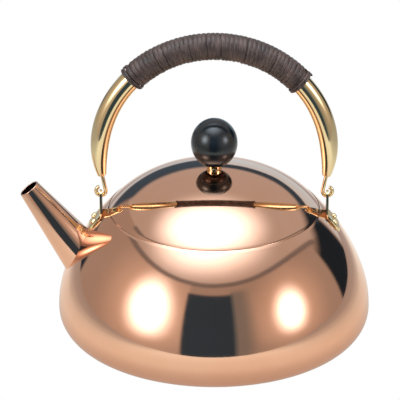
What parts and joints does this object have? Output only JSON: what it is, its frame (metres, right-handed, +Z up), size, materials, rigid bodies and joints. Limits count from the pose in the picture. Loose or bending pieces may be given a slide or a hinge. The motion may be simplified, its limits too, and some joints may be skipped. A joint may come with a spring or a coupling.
{
  "type": "stovetop whistling kettle",
  "caption": "Low domed metal kettle with a straight tapered spout, a lift-off lid with a ball knob and steam whistle, and a swinging bail handle with a wound grip.",
  "frame": {"origin": "centre of the flat base, on the axis of the body, at the height of the surface it stands on", "axes": "+Z up, -X along the spout, the handle stands in the XZ plane and swings about an axis parallel to X"},
  "size_m": [0.2343, 0.21, 0.2127],
  "materials": {
    "polished_copper": "mirror polish",
    "polished_brass": "mirror polish",
    "dark_cane": "stained and varnished winding",
    "black_phenolic": "polished"
  },
  "bodies": {
    "kettle": {"body_shell": "polished_copper", "bottom_plate": "polished_copper", "mouth_ring": "polished_copper", "spout": "polished_copper", "spout_trap": "polished_copper", "ear_front": "polished_brass", "ear_rear": "polished_brass", "ear_rivets_front": "polished_brass", "ear_rivets_rear": "polished_brass"},
    "handle": {"handle_tube": "polished_brass", "hook_front": "polished_brass", "hook_rear": "polished_brass", "grip_cane": "dark_cane", "grip_winding": "dark_cane", "grip_band_front": "dark_cane", "grip_band_rear": "dark_cane"},
    "lid": {"lid_shell": "polished_copper", "lid_skirt": "polished_copper", "whistle_stem": "polished_brass", "whistle_disc_lower": "polished_brass", "whistle_disc_upper": "polished_brass", "stem_washer": "polished_brass", "stem_nut": "polished_brass", "knob_ball": "black_phenolic", "knob_insert": "polished_brass"}
  },
  "joints": [
    {"name": "handle_swing", "type": "hinge", "parent": "kettle", "child": "handle", "pos_m": [0, 0, 0.09764], "axis": [1, 0, 0], "range_deg": [-105, 105]},
    {"name": "lid_lift", "type": "slide", "parent": "kettle", "child": "lid", "axis": [0, 0, 1], "range_m": [0, 0.03]}
  ]
}
